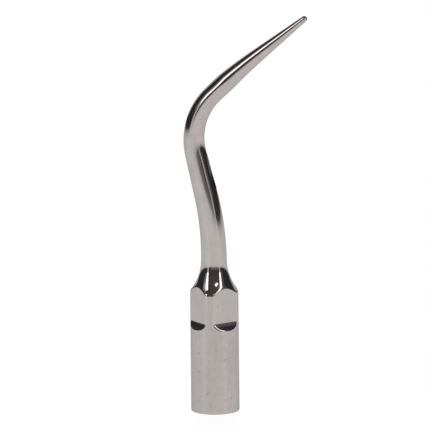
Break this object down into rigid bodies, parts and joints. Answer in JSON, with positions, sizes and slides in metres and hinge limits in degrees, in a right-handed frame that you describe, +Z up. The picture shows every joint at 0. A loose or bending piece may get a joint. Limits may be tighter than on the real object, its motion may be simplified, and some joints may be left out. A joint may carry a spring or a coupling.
{
  "type": "ultrasonic scaler tip",
  "caption": "Bent, tapered steel tip of a piezo ultrasonic scaler, with a threaded round base, wrench flats and an inner water channel with a side outlet.",
  "frame": {"origin": "centre of the base's bottom face, at the mouth of the thread", "axes": "+Z up the base's axis, from the thread to the shank; +X the way the bent arm and its point reach; the shank's centre line lies in the XZ plane"},
  "size_m": [0.0104, 0.004, 0.0334],
  "materials": {
    "polished_steel": "polished stainless steel, fine turning lines on the base"
  },
  "bodies": {
    "root": {"scaler_tip": "polished_steel"}
  },
  "joints": []
}
